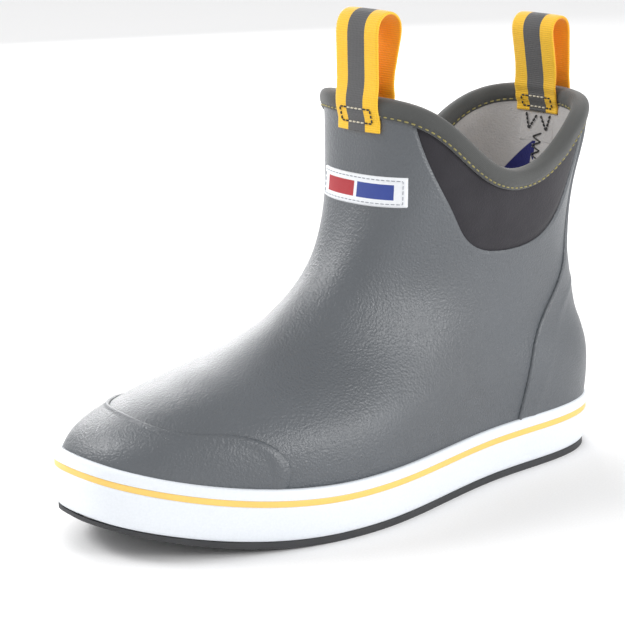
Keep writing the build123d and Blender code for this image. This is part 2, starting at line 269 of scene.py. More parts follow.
def counter_distance(points):
    corners = [(170, 200), (170, 10)]
    return edge_distance(dense(COUNTER_EDGE, count=90), corners, points[..., 1], points[..., 2])


def stiffener_distance(points):
    return edge_distance(dense(STIFFENER_EDGE, count=60), [(170, 5)], points[..., 1], points[..., 2])


def rim_distance(points):
    return np.interp(points[..., 1], *RIM.T) - points[..., 2]


def sole_line(y, heel, rise, start):
    """The height of a sole line at y: level from the heel, then an arc up to the toe."""
    run = HALF_LENGTH + start
    radius = (run**2 + rise**2) / (2 * rise)
    ahead = np.clip(start - y, 0, 1.05 * run)
    return heel + radius - np.sqrt(radius**2 - ahead**2)


# ---------------------------------------------------------------- mesh tools

def lay_mesh(name, points, faces, *materials, slots=None):
    """A smooth mesh object from points in millimetres."""
    mesh = bpy.data.meshes.new(name)
    mesh.from_pydata((np.asarray(points) * MM).tolist(), [], [list(map(int, f)) for f in faces])
    for material in materials:
        mesh.materials.append(material)
    if slots is not None:
        mesh.polygons.foreach_set("material_index", slots)
    obj = bpy.data.objects.new(name, mesh)
    bpy.context.scene.collection.objects.link(obj)
    work = bmesh.new()
    work.from_mesh(mesh)
    bmesh.ops.remove_doubles(work, verts=work.verts, dist=2e-6)
    bmesh.ops.recalc_face_normals(work, faces=work.faces)
    work.to_mesh(mesh)
    work.free()
    mesh.polygons.foreach_set("use_smooth", [True] * len(mesh.polygons))
    return obj


def grid(places, heights):
    """A grid of quads in place and height."""
    across, up = len(places), len(heights)
    params = np.stack(np.meshgrid(places, heights), axis=-1).reshape(-1, 2)
    faces = []
    for j in range(up - 1):
        for i in range(across - 1):
            first = j * across + i
            faces.append((first, first + 1, first + across + 1, first + across))
    return params, faces


def refine(params, faces, distance, band):
    """Quads within band of an edge are split in four; their neighbours take the new points."""
    near = np.abs(distance(boot(params[:, 0], params[:, 1])))
    params, middles, made = list(map(tuple, params)), {}, []

    def middle(a, b):
        key = (min(a, b), max(a, b))
        if key not in middles:
            middles[key] = len(params)
            params.append(tuple((params[a][k] + params[b][k]) / 2 for k in (0, 1)))
        return middles[key]

    split = [len(f) == 4 and min(near[i] for i in f) < band for f in faces]
    for face, cut in zip(faces, split):
        if cut:
            for a, b in zip(face, face[1:] + face[:1]):
                middle(a, b)
    for face, cut in zip(faces, split):
        if cut:
            mids = [middle(a, b) for a, b in zip(face, face[1:] + face[:1])]
            centre = len(params)
            params.append(tuple(sum(params[i][k] for i in face) / 4 for k in (0, 1)))
            for k in range(4):
                made.append((face[k], mids[k], centre, mids[k - 1]))
        else:
            corners = []
            for a, b in zip(face, face[1:] + face[:1]):
                corners.append(a)
                if (min(a, b), max(a, b)) in middles:
                    corners.append(middles[(min(a, b), max(a, b))])
            made.append(tuple(corners))
    return np.array(params), made


def clip(params, faces, distance):
    """The part of a mesh where distance is positive, cut along its zero line."""
    value = distance(boot(params[:, 0], params[:, 1]))
    params, cuts, made = list(map(tuple, params)), {}, []

    def cut(a, b):
        key = (min(a, b), max(a, b))
        if key not in cuts:
            t = value[a] / (value[a] - value[b])
            cuts[key] = len(params)
            params.append(tuple(params[a][k] + t * (params[b][k] - params[a][k]) for k in (0, 1)))
        return cuts[key]

    for face in faces:
        corners = []
        for a, b in zip(face, face[1:] + face[:1]):
            if value[a] > 0:
                corners.append(a)
            if (value[a] > 0) != (value[b] > 0):
                corners.append(cut(a, b))
        if len(corners) > 2:
            made.append(tuple(corners))
    used = sorted({i for f in made for i in f})
    new = {old: i for i, old in enumerate(used)}
    return np.array([params[i] for i in used]), [tuple(new[i] for i in f) for f in made]


def front_steps(low, high, count):
    """Heights from low to high, evenly spaced along the boot's front profile."""
    fine = np.linspace(low, high, 2000)
    front = SECTION(fine)[:, 0]
    length = np.r_[0, np.cumsum(np.hypot(np.diff(front), np.diff(fine)))]
    return np.interp(np.linspace(0, length[-1], count), length, fine)


def sweep(rings, closed=True, capped=False):
    """Faces between rings of equal point counts; closed joins the last ring to the first."""
    count, around = rings.shape[:2]
    faces = []
    for i in range(count if closed else count - 1):
        following = (i + 1) % count
        for j in range(around):
            beside = (j + 1) % around
            faces.append((i * around + j, following * around + j,
                          following * around + beside, i * around + beside))
    if capped:
        faces.append(tuple(range(around)))
        faces.append(tuple((count - 1) * around + j for j in range(around)))
    return faces


def thicken(obj, thickness):
    """Closed walls: the shell grows inwards."""
    solid = obj.modifiers.new("wall", "SOLIDIFY")
    solid.thickness = thickness * MM
    solid.offset = -1
    apply_modifiers(obj)


def apply_modifiers(obj):
    depsgraph = bpy.context.evaluated_depsgraph_get()
    final = bpy.data.meshes.new_from_object(obj.evaluated_get(depsgraph))
    obj.modifiers.clear()
    obj.data = final


def weave_map(obj, coords):
    """Cloth coordinates in millimetres, one pair for each vertex, for the weave's materials."""
    layer = obj.data.uv_layers.new(name="weave")
    for loop in obj.data.loops:
        layer.data[loop.index].uv = coords[loop.vertex_index]


def stitches(name, path, normals, material, pitch, length, radius):
    """A row of stitches: short threads that dip into the cloth at both ends."""
    path, normals = np.asarray(path), unit(np.asarray(normals))
    along = run_length(path)
    count = max(1, int(round(along[-1] / pitch)))
    pitch = along[-1] / count
    shares = np.array([0, 0.16, 0.5, 0.84, 1])
    sizes = np.array([0.45, 0.95, 1.0, 0.95, 0.45]) * radius
    lifts = np.array([-0.9, 0.35, 0.6, 0.35, -0.9]) * radius
    turns = np.arange(6) * pi / 3
    points, faces = [], []
    for k in range(count):
        at = k * pitch + (pitch - length) / 2 + shares * length
        middle = np.stack([np.interp(at, along, path[:, i]) for i in range(3)], axis=-1)
        normal = unit(np.stack([np.interp(at, along, normals[:, i]) for i in range(3)], axis=-1))
        tangent = unit(np.gradient(middle, axis=0))
        side = unit(np.cross(tangent, normal))
        centre = middle + normal * lifts[:, None]
        around = side[:, None] * np.cos(turns)[None, :, None] + normal[:, None] * np.sin(turns)[None, :, None]
        rings = centre[:, None] + around * sizes[:, None, None]
        first = len(points)
        points.extend(rings.reshape(-1, 3))
        faces.extend(tuple(first + i for i in f) for f in sweep(rings, closed=False, capped=True))
    return lay_mesh(name, points, faces, material)


def settle(obj, body="root", replaces=()):
    """A piece rides on its body and stands for its CAD nodes."""
    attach(obj, body)
    if replaces:
        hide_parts(*replaces)


# ---------------------------------------------------------------- materials

def add(tree, kind, values, **settings):
    """A new node with its settings made, and a value or a link for each socket named."""
    node = tree.nodes.new(kind)
    for key, setting in settings.items():
        setattr(node, key, setting)
    for socket, value in values.items():
        if hasattr(value, "links"):
            tree.links.new(value, node.inputs[socket])
        else:
            node.inputs[socket].default_value = value
    return node


def lifted(tree, height, depth, below):
    """A bump of depth millimetres over the one below it."""
    values = {"Distance": depth * MM, "Height": height}
    if below:
        values["Normal"] = below
    return add(tree, "ShaderNodeBump", values).outputs["Normal"]


def finish(name, colour, roughness, spread=0.1, patch=30.0, grain=(), weave=None, sheen=0.0, gloss=0.5):
    """A material whose colour drifts over patches, with grain and an optional woven relief.

    grain: (texture, size in mm, depth in mm); weave: (rib pitch, thread pitch, depth, painted shade in the
    grooves between ribs).
    """
    made = bpy.data.materials.new(name)
    made.use_nodes = True
    tree = made.node_tree
    shader = tree.nodes["Principled BSDF"]
    shader.inputs["Specular IOR Level"].default_value = gloss
    shader.inputs["Sheen Weight"].default_value = sheen
    shader.inputs["Sheen Roughness"].default_value = 0.45
    place = tree.nodes.new("ShaderNodeTexCoord").outputs["Object"]

    def noise(scale, detail=3.0):
        values = {"Scale": scale, "Detail": detail, "Vector": place}
        return add(tree, "ShaderNodeTexNoise", values).outputs["Fac"]

    def ramp(source, low, high):
        values = {"From Min": 0.3, "From Max": 0.7, "To Min": low, "To Max": high, "Value": source}
        return add(tree, "ShaderNodeMapRange", values).outputs["Result"]

    def mix(kind, factor, a, b):
        values = {0: factor, 6: a, 7: b}
        return add(tree, "ShaderNodeMix", values, data_type="RGBA", blend_type=kind).outputs[2]

    def math(kind, a, b=0.0):
        return add(tree, "ShaderNodeMath", {0: a, 1: b}, operation=kind).outputs[0]

    dark = tuple(c * (1 - spread) for c in colour) + (1,)
    light = tuple(min(1, c * (1 + spread)) for c in colour) + (1,)
    tone = mix("MIX", ramp(noise(1000 / patch), 0, 1), dark, light)
    tone = mix("MULTIPLY", ramp(noise(900, 2.0), 0.0, 0.16), tone, (0.72, 0.72, 0.72, 1))
    rough = ramp(noise(2200 / patch), roughness - 0.05, roughness + 0.05)
    tree.links.new(rough, shader.inputs["Roughness"])

    relief = None
    for kind, size, depth in grain:
        if kind == "pebble":
            values = {"Scale": 1000 / size, "Vector": place}
            height = add(tree, "ShaderNodeTexVoronoi", values, feature="SMOOTH_F1").outputs["Distance"]
        else:
            height = noise(1000 / size)
        relief = lifted(tree, height, depth, relief)
    if weave:
        rib, thread, depth, groove_shade = weave
        cloth = add(tree, "ShaderNodeUVMap", {}, uv_map="weave").outputs["UV"]
        split = add(tree, "ShaderNodeSeparateXYZ", {0: cloth})
        across = math("SINE", math("MULTIPLY", split.outputs["X"], 2 * pi / thread))
        along = math("ABSOLUTE", math("SINE", math("MULTIPLY", split.outputs["Y"], pi / rib)))
        height = math("ADD", along, math("MULTIPLY", across, 0.3))
        relief = lifted(tree, height, depth, relief)
        # Painted shade: the colour is darkened in the grooves between the weave's ribs.
        shade = math("MULTIPLY", math("SUBTRACT", 1.0, along), groove_shade)
        tone = mix("MULTIPLY", shade, tone, (0.3, 0.3, 0.3, 1))
    tree.links.new(tone, shader.inputs["Base Color"])
    if relief:
        tree.links.new(relief, shader.inputs["Normal"])
    return made


FLEECE = {"spread": 0.06, "patch": 14, "grain": [("noise", 0.8, 0.3), ("pebble", 1.2, 0.15)],
          "sheen": 0.4, "gloss": 0.2}
# The last number of each weave sets how much painted shade darkens its grooves.
BRIGHT_WEB = {"spread": 0.06, "weave": (1.05, 0.9, 0.12, 0.22), "sheen": 0.25, "gloss": 0.35}
BAR_WEAVE = {"spread": 0.06, "weave": (0.45, 0.45, 0.05, 0.12)}
THREAD_GRAIN = [("noise", 0.4, 0.08)]

RUBBER = finish("upper_rubber", (0.064, 0.073, 0.084), 0.38, spread=0.12, patch=60,
                grain=[("pebble", 1.1, 0.26), ("noise", 0.5, 0.2)], gloss=1.0)
GORE = finish("gore_knit", (0.030, 0.028, 0.033), 0.85, spread=0.18,
              grain=[("pebble", 0.7, 0.12), ("noise", 1.6, 0.1)], sheen=0.15, gloss=0.3)
LINING = finish("lining_fleece", (0.50, 0.485, 0.48), 0.95, **FLEECE)
TAPE = finish("binding_tape", (0.080, 0.082, 0.080), 0.85, spread=0.07,
              weave=(0.7, 0.7, 0.05, 0.10), grain=[("noise", 1.0, 0.08)], sheen=0.25, gloss=0.3)
WEB_YELLOW = finish("webbing_yellow", (0.97, 0.56, 0.030), 0.62, **BRIGHT_WEB)
WEB_ORANGE = finish("webbing_orange", (1.0, 0.42, 0.012), 0.62, **BRIGHT_WEB)
WEB_GREY = finish("webbing_grey", (0.105, 0.105, 0.108), 0.7, spread=0.08,
                  weave=(1.05, 0.9, 0.12, 0.25), sheen=0.2, gloss=0.35)
WHITE = finish("sidewall_white", (0.78, 0.815, 0.86), 0.36, spread=0.012, patch=50,
               grain=[("noise", 2.0, 0.03)])
YELLOW = finish("stripe_yellow", (0.92, 0.60, 0.15), 0.4, spread=0.03, grain=[("noise", 1.0, 0.03)])
TREAD = finish("outsole_rubber", (0.035, 0.036, 0.039), 0.62, spread=0.15, grain=[("noise", 0.8, 0.1)])
LABEL = finish("label_woven", (0.83, 0.85, 0.88), 0.6, spread=0.03, weave=(0.45, 0.45, 0.04, 0.08), sheen=0.2)
LABEL_RED = finish("label_red", (0.42, 0.02, 0.03), 0.55, **BAR_WEAVE)
LABEL_BLUE = finish("label_blue", (0.03, 0.06, 0.30), 0.55, **BAR_WEAVE)
KHAKI = finish("thread_khaki", (0.30, 0.26, 0.09), 0.6, spread=0.15, grain=THREAD_GRAIN)
DARK = finish("thread_dark", (0.03, 0.03, 0.032), 0.6, spread=0.15, grain=THREAD_GRAIN)
CREAM = finish("thread_cream", (0.72, 0.66, 0.52), 0.6, spread=0.12, grain=THREAD_GRAIN)
GREY = finish("thread_grey", (0.22, 0.24, 0.28), 0.6, spread=0.12, grain=THREAD_GRAIN)
FOAM = finish("midsole_foam", (0.52, 0.52, 0.50), 0.85, grain=[("pebble", 0.9, 0.2)])
PLASTIC = finish("shank_plastic", (0.05, 0.05, 0.055), 0.45, grain=[("noise", 1.5, 0.04)])
BOARD = finish("board_fibre", (0.48, 0.39, 0.27), 0.85, spread=0.15, grain=[("noise", 2.5, 0.1)])
FOOTBED = finish("footbed_cloth", (0.10, 0.105, 0.115), 0.9, spread=0.12,
                 grain=[("pebble", 0.9, 0.15)], sheen=0.3)
PLAIN = finish("patch_cloth", (0.50, 0.485, 0.48), 0.95, **FLEECE)
STIFFENER = finish("stiffener_sheet", (0.58, 0.53, 0.43), 0.6, grain=[("noise", 1.2, 0.05)])
FLOOR = finish("floor_white", (0.97, 0.97, 0.975), 0.75, spread=0.003, patch=400, grain=[("noise", 4, 0.02)])


def print_oval(material, centre, reach, lean, edge, colour):
    """A printed oval where a leaning ellipsoid meets the heel wall, cut off at the back seam (x = edge)."""
    tree = material.node_tree
    base = tree.nodes["Principled BSDF"].inputs["Base Color"]
    before = base.links[0].from_socket
    place = tree.nodes.new("ShaderNodeTexCoord").outputs["Object"]
    oval = {"Location": [c * MM for c in centre], "Rotation": (0, radians(lean), 0),
            "Scale": [r * MM for r in reach], "Vector": place}
    move = add(tree, "ShaderNodeMapping", oval, vector_type="TEXTURE")
    length = add(tree, "ShaderNodeVectorMath", {0: move.outputs[0]}, operation="LENGTH")
    soft_edge = {"From Min": 1.0, "From Max": 0.96, "Value": length.outputs["Value"]}
    inside = add(tree, "ShaderNodeMapRange", soft_edge).outputs["Result"]
    x = add(tree, "ShaderNodeSeparateXYZ", {0: place}).outputs["X"]
    inner_side = add(tree, "ShaderNodeMath", {0: x, 1: edge * MM}, operation="LESS_THAN").outputs[0]
    shown = add(tree, "ShaderNodeMath", {0: inside, 1: inner_side}, operation="MULTIPLY").outputs[0]
    mixed = add(tree, "ShaderNodeMix", {0: shown, 6: before, 7: (*colour, 1)}, data_type="RGBA")
    tree.links.new(mixed.outputs[2], base)


# ---------------------------------------------------------------- the upper and its overlays

def shell(name, low, high, keep, edges, relief, material, thickness, columns=320, rows=150, grow=0.0):
    """A piece of the boot's surface: cut by keep, finer at its edges, in relief, with a wall."""
    params, faces = grid(np.linspace(-0.5, 0.5, columns + 1), front_steps(low, high, rows))
    for distance in keep:
        for band in CUT_BANDS:
            params, faces = refine(params, faces, distance, band)
        params, faces = clip(params, faces, distance)
    for distance in edges:
        for band in EDGE_BANDS:
            params, faces = refine(params, faces, distance, band)
    surface = boot(params[:, 0], params[:, 1])
    points = skin(params[:, 0], params[:, 1], relief(surface), grow)
    obj = lay_mesh(name, points, faces, material)
    thicken(obj, thickness)
    return obj


def under_tape(points):
    """Positive where a shell stays, up to its top edge that the binding hides."""
    return rim_distance(points) - UNDER_RIM


def build_upper():
    def outside_gore(points):
        return -gore_distance(points)

    def relief(points):
        rolled = 1 - smoothstep(outside_gore(points) / 1.5)
        return -0.55 * rolled

    upper = shell("upper_shell", SHELL_LOW, SHELL_HIGH, [under_tape, outside_gore], [],
                  relief, RUBBER, 1.7)
    settle(upper, replaces=["upper"])


def build_gores():
    def relief(points):
        return -1.25 + 0.65 * smoothstep(gore_distance(points) / 5)

    for side, node in ((1, "gore_lateral"), (-1, "gore_medial")):
        def keep_side(points, side=side):
            return np.minimum(gore_distance(points) + 2.5, points[..., 0] * side)

        gore = shell(node + "_knit", 105, SHELL_HIGH, [under_tape, keep_side], [],
                     relief, GORE, 2.4, columns=300, rows=80)
        settle(gore, replaces=[node])


def rounded_edge(distance, height, radius=0.9):
    """The height of an overlay that rises in a quarter circle from its edge."""
    share = 1 - np.clip(distance / radius, 0, 1)
    return height * np.sqrt(1 - share**2)


def build_toe_cap():
    def relief(points):
        distance = toe_cap_distance(points)
        bead = 0.6 * np.exp(-((distance - 1.3) / 0.9)**2)
        return rounded_edge(distance, 0.8, 1.2) + bead - 0.1

    cap = shell("toe_cap_overlay", SHELL_LOW, 92, [toe_cap_distance], [toe_cap_distance],
                relief, RUBBER, 1.2, rows=100)
    settle(cap, replaces=["toe_cap"])


def build_heel_counter():
    def well_under_tape(points):
        return rim_distance(points) - 2 * UNDER_RIM

    def relief(points):
        distance = counter_distance(points)
        crease = 0.4 * np.exp(-(stiffener_distance(points) / 2.2)**2)
        bead = 0.6 * np.exp(-((distance - 1.2) / 0.9)**2)
        return rounded_edge(distance, 0.85) + bead + crease - 0.1

    counter = shell("heel_counter_overlay", SHELL_LOW, SHELL_HIGH,
                    [well_under_tape, counter_distance], [counter_distance],
                    relief, RUBBER, 1.2, rows=120)
    settle(counter, replaces=["heel_counter"])


def build_lining():
    def soft(points):
        x, y, z = np.moveaxis(points, -1, 0)
        return 0.25 * np.sin(x / 6.0 + y / 9.0) * np.sin(z / 7.5 + y / 14.0) - 0.2

    lining = shell("lining_sock", SHELL_LOW + 1, SHELL_HIGH, [under_tape], [],
                   soft, LINING, -1.6, columns=260, rows=120, grow=-WALL)
    settle(lining, replaces=["lining"])


# ---------------------------------------------------------------- collar binding and its seams

class RimPath:
    """The collar's top edge, evenly stepped, with the way down the wall at each step."""

    def __init__(self, count):
        fine = np.linspace(-0.5, 0.5, 4001)
        line = boot(fine, rim_height(fine))
        length = run_length(line)
        total = length[-1]
        self.along = np.arange(count) * total / count
        self.place = np.interp(self.along, length, fine)
        self.height = rim_height(self.place)
        step = total / count
        points = boot(self.place, self.height)
        tangent = unit((np.roll(points, -1, axis=0) - np.roll(points, 1, axis=0)) / (2 * step))
        by_place, by_height = slopes(self.place, self.height)
        normal = unit(np.cross(by_place, by_height))
        down = np.cross(normal, tangent)
        down *= -np.sign(down[:, 2:])
        aa, ab, bb = ((u * v).sum(axis=1) for u, v in
                      ((by_place, by_place), (by_place, by_height), (by_height, by_height)))
        da, db = (down * by_place).sum(axis=1), (down * by_height).sum(axis=1)
        self.place_step = (da * bb - db * ab) / (aa * bb - ab * ab)
        self.height_step = (db * aa - da * ab) / (aa * bb - ab * ab)

    def at(self, out, down):
        """Points a distance down the wall from the rim and out from its surface."""
        return skin(self.place + self.place_step * down, self.height + self.height_step * down, out)


# Section of the binding: out from the rubber's surface, and down from the rim (mm)
BINDING_SECTION = [
    (0.1, 9.4), (0.85, 9.2), (1.15, 8.6), (0.95, 8.0), (1.45, 6.9), (1.9, 5.0), (1.85, 3.0), (1.2, 1.3),
    (-0.5, 0.2), (-2.6, 0.0), (-4.7, 0.2), (-6.4, 1.3), (-7.05, 3.0), (-7.1, 5.0), (-6.65, 6.9),
    (-6.15, 8.0), (-6.35, 8.6), (-6.05, 9.2), (-5.3, 9.4), (-4.4, 8.4), (-3.9, 5.0), (-2.6, 3.6),
    (-1.3, 5.0), (-0.8, 8.4),
]
BINDING_MIDDLE = -2.6
SEAM_DOWN, SEAM_PITCH = 8.1, 3.4
SEAM_OUT = {"collar_seam_outer": 0.95, "collar_seam_inner": -6.15}
RIM_STEPS = 840


def build_binding():
    rim = RimPath(RIM_STEPS)
    section = dense(BINDING_SECTION, True, 61)[:-1]
    rings = np.stack([rim.at(np.full(RIM_STEPS, out), down) for out, down in section], axis=1)
    rim_normal = unit(np.cross(*slopes(rim.place, rim.height)))
    pull = 0.5 - 0.5 * np.cos(2 * pi * rim.along / SEAM_PITCH)
    drift = 0.16 * np.sin(rim.along / 7.0) * np.sin(rim.along / 17.0 + 1) + 0.1 * np.sin(rim.along / 3.1)
    for j, (out, down) in enumerate(section):
        side = 1 if out > BINDING_MIDDLE else -1
        near_seam = np.exp(-((down - SEAM_DOWN) / 1.3)**2)
        puff = 0.2 * pull * near_seam + drift * smoothstep((down - 1.0) / 3.0)
        rings[:, j] += rim_normal * (side * puff)[:, None]
    binding = lay_mesh("collar_binding_tape", rings.reshape(-1, 3), sweep(rings), TAPE)
    weave_map(binding, [(a, b) for a in rim.along for b in run_length(section)])
    settle(binding, replaces=["collar_binding"])

    for name, out in SEAM_OUT.items():
        line = rim.at(np.full(RIM_STEPS, out), SEAM_DOWN)
        normal = rim_normal if out > 0 else -rim_normal
        closed = np.vstack([line, line[:1]])
        seam = stitches(name, closed, np.vstack([normal, normal[:1]]), KHAKI, SEAM_PITCH, 2.4, 0.4)
        settle(seam)


# ---------------------------------------------------------------- webbing loops

WEB_HALF = 0.75
GREY_HALF = 4.9
BOX_HALF = 9.3
THREAD_LIFT = WEB_HALF + 0.05
UP = np.array([0, 0, 1])


def shaft_axes(where):
    """The hinge point, the outward way and the way across at the front or rear of the shaft."""
    turn, sign = radians(LOOP_TURN), 1 if where == "front" else -1
    outward = np.array([sin(turn), -cos(turn), 0]) * sign
    across = np.array([cos(turn), sin(turn), 0]) * sign
    hinge = np.array([0, SHAFT_CENTRE, PIVOT_Z[where]]) + outward * PIVOT_REACH
    return hinge, outward, across


def wall_out(where, height):
    """How far the rubber's surface is out from the hinge line, at the middle of the front or rear."""
    front, back = SECTION(height)[:2]
    reach = SHAFT_CENTRE - front if where == "front" else back - SHAFT_CENTRE
    return reach - PIVOT_REACH


def standing_loop(where):
    """The loop's middle line above the bead, leaning in: out from the hinge line, and up from it."""
    half, shoulder = LOOP_SHAPE[where]
    waist = LOOP_WAIST
    side = [(6.0, 2.2), (5.7, 5.0), (waist, 9.5), (waist + 0.35 * (half - waist), 0.52 * shoulder),
            (waist + 0.8 * (half - waist), 0.8 * shoulder), (half, shoulder + 0.5)]
    crown = [(half * cos(radians(a)), shoulder + 0.5 + (half - 0.3) * sin(radians(a))) for a in (28, 58)]
    right = side + crown
    line = right + [(0.0, shoulder + half + 0.2)] + [(-out, up) for out, up in reversed(right)]
    lean = radians(LOOP_LEAN)
    return [(out * cos(lean) - up * sin(lean), up * cos(lean) + out * sin(lean)) for out, up in line]


def webbing_line(where):
    """The whole strip's middle line: up the outer tab, round the loop and down the inner tab."""
    pivot, lift = PIVOT_Z[where], 0.2 if where == "front" else 0.95
    low = TAB_LOW[where] - pivot
    outer = [(wall_out(where, pivot + up) + lift + WEB_HALF, up) for up in (low, low + 2.5, low + 5.0)]
    outer += [(5.3 if where == "front" else 5.1, -5.2), (6.0, -1.8)]
    inner = [(-5.3, -1.6), (-5.0, -5.0)]
    inner += [(wall_out(where, pivot + up) - WALL - 0.1 - WEB_HALF, up)
              for up in (-8.4, -10.0, INNER_TAB_END)]
    return outer + standing_loop(where) + inner


def shaft_sag(across, up):
    """How far the curved shaft falls back beside its middle line; the standing loop is flat."""
    share = np.abs(across / SHAFT_HALF_WIDTH)
    oval = SHAFT_HALF_LENGTH * (1 - (1 - share**SHAFT_POWER)**(1 / SHAFT_POWER))
    return oval * (1 - smoothstep((up + 1.0) / 16.0))


def build_webbing(where):
    hinge, outward, across = shaft_axes(where)
    line = chord_spline(webbing_line(where))
    count = 190
    knots = np.linspace(0, line.knots[-1], count)
    middle = line(knots)
    tangent = unit(np.gradient(middle, axis=0))
    out_normal = np.stack([tangent[:, 1], -tangent[:, 0]], axis=-1)
    half = LOOP_WIDTH / 2
    columns = np.r_[-half, -half + 0.35, np.arange(-12, 12.1, 0.75), half - 0.35, half]
    from_edge = half - np.abs(columns)
    thick = np.where(from_edge < 0.1, 0.25, np.where(from_edge < 0.5, 0.62, WEB_HALF))
    rings = []
    for (out, up), normal, along in zip(middle, out_normal, knots):
        rib = 0.05 * sin(2 * pi * along / 1.05)
        sides = []
        for face in (1, -1):
            reach = face * (thick + rib)
            curl = 0.25 * (np.abs(columns) / half)**4 * smoothstep((up - 4) / 12)
            o = out + normal[0] * (reach - curl) - shaft_sag(columns, up)
            u = up + normal[1] * (reach - curl)
            face_points = hinge + o[:, None] * outward + columns[:, None] * across + u[:, None] * UP
            sides.append(face_points if face == 1 else face_points[::-1])
        rings.append(np.vstack(sides))
    rings = np.array(rings)
    faces = sweep(rings, closed=False, capped=True)
    face_middles = np.r_[(columns[:-1] + columns[1:]) / 2, half]
    outer_row = [2 if abs(c) < GREY_HALF else 0 for c in face_middles]
    slots = (outer_row + [1] * len(columns)) * (count - 1) + [0, 0]
    strip = lay_mesh(where + "_pull_webbing", rings.reshape(-1, 3), faces,
                     WEB_YELLOW, WEB_ORANGE, WEB_GREY, slots=slots)
    cloth = np.r_[columns, columns[::-1]]
    weave_map(strip, [(c, a) for a in knots for c in cloth])
    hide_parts(where + "_pull_loop", where + "_tab_outer", where + "_tab_inner")
    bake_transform(strip)
    build_tab_stitches(where, line, hinge, outward, across)


def tab_row(line, hinge, outward, across, spans):
    """A seam on the webbing's outer face between places (across, along)."""
    points, normals = [], []
    for (c0, a0), (c1, a1) in zip(spans[:-1], spans[1:]):
        for t in np.linspace(0, 1, 30):
            c, a = c0 + t * (c1 - c0), a0 + t * (a1 - a0)
            (out, up), ahead = line(a), line(a + 0.2)
            way = unit(np.array([ahead[0] - out, ahead[1] - up]))
            normal = np.array([way[1], -way[0]])
            o = out + normal[0] * THREAD_LIFT - shaft_sag(np.array(c), up)
            points.append(hinge + o * outward + c * across + (up + normal[1] * THREAD_LIFT) * UP)
            normals.append(normal[0] * outward + normal[1] * UP)
    return np.array(points), np.array(normals)


def build_tab_stitches(where, line, hinge, outward, across):
    """Box stitching on the tab: pale over the grey stripe, dark over the yellow edges."""
    length = line.knots[-1]
    bands = {"outer": (4.3, 11.4), "inner": (length - 2.2, length - 8.2)}
    for face, (low, high) in bands.items():
        rows = []
        for a in (low, high):
            rows += [(CREAM, [(-GREY_HALF, a), (GREY_HALF, a)]),
                     (DARK, [(-BOX_HALF, a), (-GREY_HALF, a)]),
                     (DARK, [(GREY_HALF, a), (BOX_HALF, a)])]
        rows += [(DARK, [(c, low), (c, high)]) for c in (-BOX_HALF, BOX_HALF)]
        made = []
        for material, spans in rows:
            points, normals = tab_row(line, hinge, outward, across, spans)
            made.append(stitches("thread", points, normals, material, 2.4, 1.8, 0.42))
        join(made, f"{where}_tab_{face}_stitches")


def join(objects, name):
    """Several small meshes as one piece."""
    with bpy.context.temp_override(active_object=objects[0], selected_editable_objects=objects):
        bpy.ops.object.join()
    objects[0].name = name
    settle(objects[0])


# ---------------------------------------------------------------- label, patch and back seam

def places_across(where, height, offsets):
    """Places on the surface whose distances across from the shaft's middle are offsets."""
    hinge, _, across = shaft_axes(where)
    near = np.linspace(-0.24, 0.24, 600) + (0.0 if where == "front" else 0.5)
    reach = (boot(near, height) - hinge) @ across
    order = np.argsort(reach)
    return np.interp(offsets, reach[order], near[order])


def patch_of_cloth(name, where, width, low, high, outs, grow, material, step=0.6, tint=None):
    """A sewn patch that follows the shaft, thick in the middle and rounded at its edges."""
    across = np.linspace(-width / 2, width / 2, int(width / step) + 1)
    heights = np.linspace(low, high, int((high - low) / step) + 1)
    points = []
    for height in heights:
        place = places_across(where, height, across)
        border = np.minimum(width / 2 - np.abs(across), min(height - low, high - height))
        out = outs[0] + (outs[1] - outs[0]) * np.sqrt(1 - (1 - np.clip(border / 0.7, 0, 1))**2)
        points.append(skin(place, np.full(len(place), height), out, grow))
    points = np.array(points)
    count = len(across)
    faces = [(j * count + i, j * count + i + 1, (j + 1) * count + i + 1, (j + 1) * count + i)
             for j in range(len(heights) - 1) for i in range(count - 1)]
    slots = [0] * len(faces)
    if tint:
        slots = [tint((across[f[0] % count] + across[f[1] % count]) / 2,
                      (heights[f[0] // count] + heights[f[2] // count]) / 2) for f in faces]
    materials = material if isinstance(material, tuple) else (material,)
    patch = lay_mesh(name, points.reshape(-1, 3), faces, *materials, slots=slots)
    weave_map(patch, [(a, h) for h in heights for a in across])
    return patch


def seam_on_shaft(name, where, corners, out, grow, material, pitch, length, radius, steps=40):
    """Stitches along straight runs between corners (across, height) on the shaft."""
    points, normals = [], []
    for (a0, h0), (a1, h1) in zip(corners[:-1], corners[1:]):
        t = np.linspace(0, 1, steps)
        heights = h0 + t * (h1 - h0)
        place = np.array([places_across(where, h, a) for h, a in zip(heights, a0 + t * (a1 - a0))])
        surface = skin(place, heights, np.full(steps, out), grow)
        further = skin(place, heights, np.full(steps, out + np.sign(out)), grow)
        points.append(surface)
        normals.append(further - surface)
    return stitches(name, np.vstack(points), np.vstack(normals), material, pitch, length, radius)


def build_label():
    width, low, high = LABEL_WIDTH, LABEL_LOW, LABEL_HIGH
    middle = (low + high) / 2

    def tint(a, h):
        if abs(h - middle) > BAR_HALF_HEIGHT or not BAR_NEAR < abs(a) < BAR_FAR:
            return 0
        return 1 if a < 0 else 2

    label = patch_of_cloth("front_label_patch", "front", width, low, high, (-0.1, 0.7), 0.0,
                           (LABEL, LABEL_RED, LABEL_BLUE), tint=tint)
    thicken(label, 0.8)
    settle(label, replaces=["front_label"])
    side, under, over = width / 2 - 1.9, low + 1.7, high - 1.7
    corners = [(-side, under), (side, under), (side, over), (-side, over), (-side, under)]
    border = seam_on_shaft("front_label_border", "front", corners, 0.75, 0.0, GREY, 2.6, 2.1, 0.17)
    settle(border)


